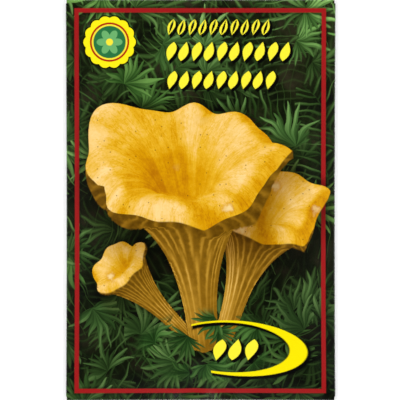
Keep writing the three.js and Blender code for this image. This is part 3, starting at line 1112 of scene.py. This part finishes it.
def leaf_row_group():
    """A row of slanted leaves, filled or hollow, as an edge value below 0 inside.

    A leaf's half-width is the row's plumpness times 1 - b^2, b running from -1 to 1 up the row.
    """
    inputs = {"Place": "vector", **dict.fromkeys(ROW_SIZES, "value")}
    tree, given, give = new_group("leaf_row", inputs, {"Edge": "value"})
    x, y, _ = given["Place"].split()
    half = given["Height"] * 0.5
    up = y - given["Low"] - half
    b = up / half
    from_left = (x - given["Left"] - up * 0.3) / given["Pitch"]
    number = from_left.whole()
    across = (from_left.part() - 0.5) * given["Pitch"]
    lean = (number * math.pi).math("COSINE") * 0.35
    half_width = (1 - b * b) * (1 + lean * b) * given["Plump"]
    away = abs(across)
    leaf = away - half_width
    hollow = half_width * given["Hollow"] - away - 0.1
    leaf = leaf.most(hollow)
    off_row = (abs(from_left - given["Count"] * 0.5) - given["Count"] * 0.5) * given["Pitch"]
    give(Edge=leaf.most(abs(up) - half).most(off_row))
    return tree


def leaf_row_edge(tree, group, place, row):
    """The edge value of a row of leaves whose sizes stand in the order of ROW_SIZES."""
    return use_group(tree, group, Place=place, **dict(zip(ROW_SIZES, row)))["Edge"]


# The crescent's two ellipses: middle, half extents and covariance; the x of its upper and lower
# ends; and how much wider its upper arm is at its end, which fades out over a length.
CRESCENT_OUTER = (13.39, -54.82, 26.12, 10.44, -42.2)
CRESCENT_INNER = (9.67, -54.29, 23.27, 9.51, -31.8)
CRESCENT_ENDS = (-3.5, 3.87)
ARM_LENGTH = 24
ARM_WIDENING = 0.58


def crescent_group():
    """A crescent: inside one tilted ellipse and outside another, open at its left; an edge value."""
    tree, given, give = new_group("crescent", {"Place": "vector"}, {"Edge": "value"})
    x, y, _ = given["Place"].split()

    def ellipse(middle_x, middle_y, reach_x, reach_y, tilt):
        """About the distance outside an ellipse with this middle, reach and covariance."""
        dx, dy = x - middle_x, y - middle_y
        determinant = reach_x**2 * reach_y**2 - tilt**2
        square = dx * dx * (reach_y**2 / determinant) + dy * dy * (reach_x**2 / determinant)
        square = square - dx * dy * (2 * tilt / determinant)
        return (square.math("SQRT") - 1) * reach_y

    outer, inner = ellipse(*CRESCENT_OUTER), ellipse(*CRESCENT_INNER)
    upper_end, lower_end = CRESCENT_ENDS
    above = (y - CRESCENT_OUTER[1]).ease(-1.0, 1.0)
    wider = x.ease(upper_end, upper_end + ARM_LENGTH, ARM_WIDENING, 0.0) * above
    cut = (upper_end - x) * above + (lower_end - x) * (1 - above)
    give(Edge=outer.most(-inner - wider).most(cut))
    return tree


def roundel_group():
    """A plain scalloped roundel of rings, over the colour under it."""
    inputs = {"Place": "vector", "Under": "colour"}
    tree, given, give = new_group("roundel", inputs, {"Colour": "colour"})
    x, y, _ = given["Place"].split()
    radius = (x * x + y * y).math("SQRT")
    angle = y.math("ARCTAN2", x)
    scallop = radius - 9.0 - abs((angle * 7).math("COSINE")) * 0.75
    petals = radius - 2.6 - abs((angle * 3).math("COSINE")) * 2.2
    colour = overprint(tree, given["Under"], scallop - 0.5, (14, 18, 8), 0.2)
    for edge, shown in (
        (scallop, (253, 238, 28)), (radius - 7.3, (176, 34, 20)), (radius - 6.6, (250, 232, 60)),
        (radius - 6.0, (44, 116, 66)), (petals, (108, 176, 108)), (radius - 1.3, (250, 232, 60)),
    ):
        colour = overprint(tree, colour, edge, shown)
    give(Colour=colour)
    return tree


# ------------------------------------------------------------------ the printed paper

# Foliage from the back to the front: kind, cell size, reach, leaves, leaf half-width, blur, and
# the dark, middle and bright greens of its leaves.
FOLIAGE = (
    ("twigs", 20, 15, 9, 1.1, 0.60, (16, 24, 10), (31, 43, 21), (50, 68, 34)),
    ("tufts", 19, 14, 12, 0.75, 0.40, (15, 25, 9), (38, 56, 26), (68, 95, 48)),
    ("twigs", 27, 17, 10, 1.15, 0.25, (17, 29, 11), (45, 68, 31), (86, 118, 62)),
    ("tufts", 22, 15, 12, 0.72, 0.20, (19, 32, 12), (52, 78, 37), (98, 134, 72)),
    ("tufts", 26, 17, 12, 0.80, 0.14, (21, 36, 14), (60, 92, 44), (116, 152, 86)),
)
# The same for the leaves in front of the mushrooms' feet, with where those lie: the middle, how
# much less wide than high the patch counts, and the distances between which it fades out.
NEAR_FOLIAGE = (
    ("tufts", 14, 11, 12, 0.6, 0.14, (14, 26, 10), (36, 64, 27), (76, 112, 54)),
    ("tufts", 18, 13, 11, 0.7, 0.12, (16, 30, 11), (42, 74, 32), (86, 126, 62)),
)
FEET = (2, -54)
FEET_FLATTENING = 0.3
FEET_FADE = (15.0, 11.0)

FRAME_RED = (158, 30, 31)
FRAME_MIDDLE = (-0.19, -0.22)
FRAME_REACH = (46.66, 71.4)
FRAME_LINE = 1.65
ROUNDEL_MIDDLE = (-33.75, 58.5)
# The rows of leaves in place of words, in the order of ROW_SIZES.
LEAF_ROWS = (
    (-12.9, 61.1, 5.9, 3.9, 10, 1.35, 0.42),
    (-13.3, 51.4, 7.1, 4.7, 10, 1.7, 0.0),
    (-12.9, 41.0, 6.7, 4.55, 9, 1.65, 0.0),
    (3.9, -59.2, 7.8, 5.9, 3, 2.2, 0.0),
)
# The yellow print's shadow and the yellow print itself: step, how much wider, softness of the
# edge, and the inks of the crescent and of the leaves.
YELLOW_PRINT = (
    ((0.75, -0.8), 0.4, 0.35, (2, 2, 0), (2, 2, 0)),
    ((0.0, 0.0), 0.0, LINE_SOFT, (250, 231, 12), (252, 240, 58)),
)


def off_middle(tree, place, middle):
    """A place on the sheet, counted from a middle."""
    return vector(tree, "SUBTRACT", place, (*middle, 0.0))


def foliage(tree, place, colour, layers, groups, mask):
    """Lays layers of leaves, each bent by a wide noise, over a colour, where the mask is 1."""
    for number, (kind, *sizes, dark, middle, bright) in enumerate(layers):
        cell = sizes[0]
        moved = vector(tree, "ADD", place, (cell * 1.9 + number * 7, -cell * 3.1, 0.0))
        _, wander = noise(tree, moved, 0.085, 1)
        moved = bent(tree, moved, wander, 5.0)
        layer = use_group(tree, groups[kind], Place=moved, **dict(zip(LAYER_SIZES, sizes)))
        leaf = ramp(tree, layer["Light"], ((0.1, dark), (0.5, middle), (1.0, bright)))
        leaf = blend(tree, layer["Tint"].ease(0.55, 1.0, 0.0, 0.5), leaf, ink(*bright), "SOFT_LIGHT")
        colour = blend(tree, layer["Mask"] * mask, colour, leaf)
    return colour


def picture(tree, place):
    """The front's picture, laid down from the back to the front; returns its colour."""
    x, y, _ = place.split()
    ground, _ = noise(tree, place, 0.07, 4, 0.6)
    colour = ramp(tree, ground, ((0.3, (13, 15, 8)), (0.5, (22, 28, 14)), (0.7, (40, 38, 26))))
    groups = {"twigs": twig_group(), "tufts": tuft_group()}
    colour = foliage(tree, place, colour, FOLIAGE, groups, 1.0)
    glow, _ = noise(tree, place, 0.028, 7, 0.62)
    level = 0.97 + (glow - 0.5) * 0.9 + y * (0.0062 + x * 0.00006)  # brighter towards the top
    colour = blend(tree, 1.0, colour, join(tree, level, level, level), "MULTIPLY")

    off_x, off_y, _ = off_middle(tree, place, FRAME_MIDDLE).split()
    outer = (abs(off_x) - FRAME_REACH[0]).most(abs(off_y) - FRAME_REACH[1])
    line = outer.most(-FRAME_LINE - outer)
    colour = blend(tree, line.ease(1.3, 0.0, 0.0, 0.5), colour, ink(6, 6, 4))
    colour = overprint(tree, colour, line, FRAME_RED, 0.2)

    mushroom = mushroom_group()
    for name in TRUMPETS:
        vectors = {}
        for title in ("Edge", "Upper", "Lower"):
            attribute = f"{name}_{title.lower()}"
            node = new_node(tree, "ShaderNodeAttribute", attribute_name=attribute)
            vectors[title] = Wire(node.outputs["Vector"])
        colour = use_group(tree, mushroom, Place=place, Under=colour, **vectors)["Colour"]
    off_x, off_y, _ = off_middle(tree, place, FEET).split()
    off_feet = (off_x * off_x * FEET_FLATTENING + off_y * off_y).math("SQRT")
    colour = foliage(tree, place, colour, NEAR_FOLIAGE, groups, off_feet.ease(*FEET_FADE))

    crescent, row_group = crescent_group(), leaf_row_group()
    for step, wider, soft, crescent_ink, leaf_ink in YELLOW_PRINT:
        moved = off_middle(tree, place, step)
        edge = use_group(tree, crescent, Place=moved)["Edge"]
        colour = overprint(tree, colour, edge - wider, crescent_ink, soft)
        for row in LEAF_ROWS:
            edge = leaf_row_edge(tree, row_group, moved, row)
            colour = overprint(tree, colour, edge - wider, leaf_ink, soft)
    badge = off_middle(tree, place, ROUNDEL_MIDDLE)
    return use_group(tree, roundel_group(), Place=badge, Under=colour)["Colour"]


PAPER_WHITE = (0.74, 0.73, 0.70)
BACK_MIDDLE = (RIGHT_X + math.pi * RIGHT_FOLD + RIGHT_X, 0.0)
BACK_LINE_REACH = (43, 62)
BACK_LINE_HALF = 0.35
BACK_ROWS = ((-36, 47, 8, 6.0, 12, 2.16, 0.4), (-36, -54, 6, 4.5, 16, 1.62, 0.4))
RULED_Y = -5  # the middle ruled line
RULED_PITCH = 11
RULED_HALF = 0.15
RULED_REACH = (34, 24)
BACK_GREEN = (52, 104, 50)
RULED_GREY = (150, 160, 140)


def back_picture(tree, place):
    """The back: white, with a green line round it, two rows of leaves and five ruled lines."""
    place = off_middle(tree, place, BACK_MIDDLE)
    x, y, _ = place.split()
    line = abs((abs(x) - BACK_LINE_REACH[0]).most(abs(y) - BACK_LINE_REACH[1])) - BACK_LINE_HALF
    off_ruled = y - RULED_Y
    ruled = abs(abs(off_ruled / RULED_PITCH - 0.5).part() - 0.5) * RULED_PITCH - RULED_HALF
    ruled = ruled.most(abs(x) - RULED_REACH[0]).most(abs(off_ruled) - RULED_REACH[1])
    colour = overprint(tree, PAPER_WHITE, line, BACK_GREEN, 0.1)
    colour = overprint(tree, colour, ruled, RULED_GREY, 0.1)
    for row in BACK_ROWS:
        edge = leaf_row_edge(tree, bpy.data.node_groups["leaf_row"], place, row)
        colour = overprint(tree, colour, edge, BACK_GREEN, 0.12)
    return colour


def fibre_group():
    """Paper: a cloudy tone about 1 and a height of crossed fibres, from a place in millimetres."""
    outputs = dict.fromkeys(("Tone", "Height"), "value")
    tree, given, give = new_group("paper_fibre", {"Place": "vector"}, outputs)
    place = given["Place"]
    cloud, _ = noise(tree, place, 0.35, 4, 0.6, False)
    lying, _ = noise(tree, vector(tree, "MULTIPLY", place, (6.0, 1.2, 3.0)), 1.0, 3, 0.65, False)
    standing, _ = noise(tree, vector(tree, "MULTIPLY", place, (1.4, 5.0, 3.0)), 1.0, 3, 0.65, False)
    give(Tone=0.94 + cloud * 0.12, Height=lying.most(standing))
    return tree


def new_material(name, specular):
    """A material, its tree and its shader, which has the same specular level all over."""
    material = bpy.data.materials.new(name)
    material.use_nodes = True
    shader = material.node_tree.nodes["Principled BSDF"]
    shader.inputs["Specular IOR Level"].default_value = specular
    return material, material.node_tree, shader


def dress(shader, colour, roughness, height, depth):
    """Wires a shader's colour, roughness and bumps: a height of 0 to 1, and a depth in metres."""
    tree = shader.id_data
    bump = new_node(tree, "ShaderNodeBump")
    bump.inputs["Distance"].default_value = depth
    plug(tree, height, bump.inputs["Height"])
    plug(tree, colour, shader.inputs["Base Color"])
    plug(tree, roughness, shader.inputs["Roughness"])
    plug(tree, Wire(bump.outputs[0]), shader.inputs["Normal"])


def object_place(tree):
    """Object coordinates in millimetres."""
    node = new_node(tree, "ShaderNodeTexCoord")
    return vector(tree, "MULTIPLY", Wire(node.outputs["Object"]), (1 / MM, 1 / MM, 1 / MM))


FOLD_X = RIGHT_X + math.pi * RIGHT_FOLD / 2  # where the print meets the folds' outermost lines
FOLD_Y = END_Y + math.pi * END_FOLD / 2
PRINT_BLEED = 3  # how far the picture runs on past them


def printed_paper():
    """The sheet's outer face: the picture, bled round the folds, on varnished white paper."""
    material, tree, shader = new_material("printed_paper", 0.28)
    place = made(tree, "ShaderNodeUVMap", uv_map="print")
    colour = picture(tree, place)
    x, y, _ = place.split()
    past_print = (abs(x) - FOLD_X - PRINT_BLEED).most(abs(y) - FOLD_Y - PRINT_BLEED)
    colour = blend(tree, past_print.ease(-0.1, 0.1), colour, back_picture(tree, place))
    fibre = use_group(tree, fibre_group(), Place=place)
    tone = fibre["Tone"]
    colour = blend(tree, 0.35, colour, join(tree, tone, tone, tone), "MULTIPLY")
    rubbed, _ = noise(tree, place, 0.9, 4, 0.7)
    off_fold = abs(abs(x) - FOLD_X).least(abs(abs(y) - FOLD_Y))
    rubbed = off_fold.ease(0.3, 0.0) * rubbed.ease(0.5, 0.72)
    colour = blend(tree, rubbed * 0.2, colour, PAPER_WHITE)
    height = fibre["Height"]
    dress(shader, colour, 0.22 + height * 0.08 + rubbed * 0.3, height, 0.00001)
    return material


def bare_paper():
    """The sheet's unprinted inner face and its cut edges."""
    material, tree, shader = new_material("bare_paper", 0.25)
    fibre = use_group(tree, bpy.data.node_groups["paper_fibre"], Place=object_place(tree))
    colour = ramp(tree, fibre["Tone"] - 0.5, ((0.42, (226, 221, 208)), (0.56, (245, 242, 234))))
    dress(shader, colour, 0.68 + fibre["Height"] * 0.15, fibre["Height"], 0.00003)
    return material


def threads_group():
    """Mushroom threads: a mask of white fluff and its height, from a place in millimetres."""
    inputs = {"Place": "vector", "Cover": "value"}
    outputs = dict.fromkeys(("Mask", "Height"), "value")
    tree, given, give = new_group("spawn_threads", inputs, outputs)
    patch, wander = noise(tree, given["Place"], 0.22, 4, 0.6, False)
    strand, _ = noise(tree, bent(tree, given["Place"], wander, 2.0), 1.6, 5, 0.75, False)
    ridges = abs(strand - 0.5).ease(0.10, 0.0)
    cover = (patch + given["Cover"] - 0.5).ease(0.35, 0.65)
    give(Mask=(cover + ridges * 0.5 * cover).least(1.0), Height=ridges * 0.6 + strand * 0.4)
    return tree


def grain_husk():
    """Boiled rye grains, tan to brown, with white threads growing over them."""
    material, tree, shader = new_material("grain_husk", 0.35)
    place = object_place(tree)
    threads = use_group(tree, threads_group(), Place=place, Cover=0.42)
    which, _ = noise(tree, place, 0.12, 2, 0.5, False)
    wrinkle, _ = noise(tree, place, 2.4, 4, 0.6, False)
    tans = ((0.3, (104, 70, 36)), (0.5, (158, 116, 66)), (0.7, (196, 160, 104)))
    husk = ramp(tree, which * 0.7 + wrinkle * 0.3, tans)
    colour = blend(tree, threads["Mask"] * 0.85, husk, ink(240, 238, 226))
    height = wrinkle * 0.5 + threads["Height"] * threads["Mask"]
    dress(shader, colour, 0.42 + wrinkle * 0.1 + threads["Mask"] * 0.4, height, 0.00012)
    return material


def thread_felt():
    """The felt of threads that holds the grains together."""
    material, tree, shader = new_material("thread_felt", 0.15)
    group = bpy.data.node_groups["spawn_threads"]
    tone = use_group(tree, group, Place=object_place(tree), Cover=0.6)["Height"]
    whites = ((0.1, (222, 216, 198)), (0.45, (246, 243, 232)), (0.8, (254, 253, 249)))
    dress(shader, ramp(tree, tone, whites), 0.82 + tone * 0.15, tone, 0.0002)
    return material


def dried_glue():
    """A brushed strip of dried starch glue, a little yellow, with brush marks and thin places."""
    material, tree, shader = new_material("dried_glue", 0.5)
    place = object_place(tree)
    marks, _ = noise(tree, vector(tree, "MULTIPLY", place, (0.25, 3.0, 3.0)), 1.0, 4, 0.6, False)
    bubbles, _, _ = cell_noise(tree, place, 1.3, 1.0)
    colour = ramp(tree, marks, ((0.3, (206, 190, 140)), (0.7, (234, 224, 188))))
    height = marks * 0.6 + bubbles.ease(0.3, 0.1, 0.0, 0.4)
    dress(shader, colour, 0.28 + marks * 0.25, height, 0.00004)
    return material


# ------------------------------------------------------------------ the table, the light and the camera

TABLE_RADIUS = 1250
TABLE_SIDES = 128
LIGHT_DISTANCE = 1.4
LIGHT_SIZE = 0.55
LIGHT_ELEVATION = math.radians(30)
LIGHTS = ((0, 14.2), (90, 10.0), (180, 14.2), (270, 10.0))  # bearing in degrees, watts
LENS = 250  # millimetres, on a film 36 wide
CAMERA_PLACE = (-0.00026, 0.0, 1.0305)


def table_white():
    """A matt white table top, with a faint cloudiness."""
    material, tree, shader = new_material("table_white", 0.1)
    cloud, _ = noise(tree, object_place(tree), 0.01, 3, 0.5, False)
    tone = 0.89 + cloud * 0.03
    plug(tree, join(tree, tone, tone, tone), shader.inputs["Base Color"])
    plug(tree, 0.88 + cloud * 0.05, shader.inputs["Roughness"])
    return material


def build_table():
    """A round table top: a regular polygon of many sides."""
    turns = np.arange(TABLE_SIDES) * 2 * math.pi / TABLE_SIDES
    rim = np.stack([np.cos(turns), np.sin(turns), 0 * turns], axis=-1) * TABLE_RADIUS
    table = build_mesh("table", rim, [list(range(TABLE_SIDES))])
    table.data.materials.append(table_white())


def light_studio():
    """Four square lamps round the table, low enough that the varnish doesn't shine from above."""
    for bearing, watts in LIGHTS:
        lamp = bpy.data.lights.new(f"studio_lamp_{bearing}", "AREA")
        lamp.energy, lamp.size = watts, LIGHT_SIZE
        piece = add_object(lamp.name, lamp)
        turn, flat = math.radians(bearing), math.cos(LIGHT_ELEVATION)
        towards = Vector((math.cos(turn) * flat, math.sin(turn) * flat, math.sin(LIGHT_ELEVATION)))
        piece.location = towards * LIGHT_DISTANCE
        piece.rotation_euler = towards.to_track_quat("Z", "Y").to_euler()

    world = bpy.data.worlds.new("white_studio")
    bpy.context.scene.world = world
    world.use_nodes = True
    tree = world.node_tree
    seen = Wire(new_node(tree, "ShaderNodeLightPath").outputs["Is Camera Ray"])
    direction = Wire(new_node(tree, "ShaderNodeTexCoord").outputs["Generated"])
    sky = direction.split()[2].ease(0.35, 0.95, 0.40, 0.015)
    level = sky + seen * (1 - sky)
    plug(tree, join(tree, level, level, level), tree.nodes["Background"].inputs["Color"])
    bpy.context.scene.view_settings.view_transform = "Standard"


def set_camera():
    """A long lens straight above the packet, with the packet as tall as the frame."""
    camera = bpy.data.cameras.new("camera")
    camera.lens = LENS
    piece = add_object("camera", camera)
    piece.location = CAMERA_PLACE
    bpy.context.scene.camera = piece


# ------------------------------------------------------------------ everything together

set_camera()
light_studio()
build_table()

grains = scatter_grains()
packet = folded_sheet(settled_front(grains))
packet.data.materials.append(printed_paper())
packet.data.materials.append(bare_paper())
spawn = build_spawn(grains)
spawn.data.materials.append(grain_husk())
spawn.data.materials.append(thread_felt())
for piece, node, slot in (
    (packet, "folded_packet", "printed_paper"),
    (spawn, "spawn", "spawn_grain"),
):
    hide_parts(node)
    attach(piece, "root")

glue = dried_glue()
for name in ("side_seam_glue", "bottom_flap_glue", "top_flap_glue"):
    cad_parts[name].data.materials.clear()
    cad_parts[name].data.materials.append(glue)
